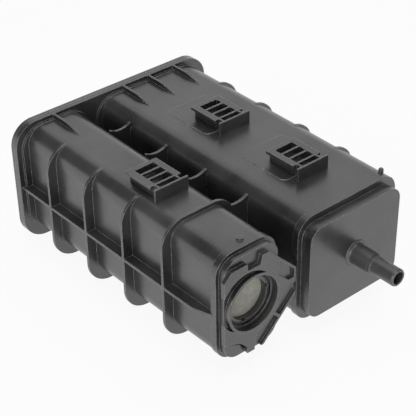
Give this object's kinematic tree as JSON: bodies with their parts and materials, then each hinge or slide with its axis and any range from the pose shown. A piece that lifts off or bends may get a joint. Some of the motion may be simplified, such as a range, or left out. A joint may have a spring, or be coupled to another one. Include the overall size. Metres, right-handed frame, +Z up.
{
  "type": "charcoal canister",
  "caption": "Black plastic vapour canister: ribbed chambers side by side on a flanged rear cover, with a hose nipple, a round vent socket and slatted slide brackets on top.",
  "frame": {"origin": "on the floor under the middle of the whole canister", "axes": "+X across the chambers towards the wide one, +Y towards the rear cover, +Z up, ports facing -Y"},
  "size_m": [0.22, 0.3426, 0.1285],
  "materials": {
    "housing_plastic": "semi-gloss black moulding",
    "nipple_plastic": "smooth black moulding",
    "cover_plastic": "semi-gloss black moulding",
    "filter_pad": "beige-grey felt",
    "carbon": "black granules",
    "plate_plastic": "dark grey moulding",
    "spring_steel": "drawn wire"
  },
  "bodies": {
    "root": {"housing": "housing_plastic", "hose_nipple": "nipple_plastic", "vent_bracket": "housing_plastic", "port_rear_bracket": "housing_plastic", "port_front_bracket": "housing_plastic", "rear_cover": "cover_plastic", "vent_filter": "filter_pad", "vent_carbon_bed": "carbon", "vent_rear_filter": "filter_pad", "vent_pressure_plate": "plate_plastic", "port_filter": "filter_pad", "port_carbon_bed": "carbon", "port_rear_filter": "filter_pad", "port_pressure_plate": "plate_plastic", "vent_spring_upper": "spring_steel", "vent_spring_lower": "spring_steel", "port_spring_left": "spring_steel", "port_spring_right": "spring_steel"}
  },
  "joints": []
}
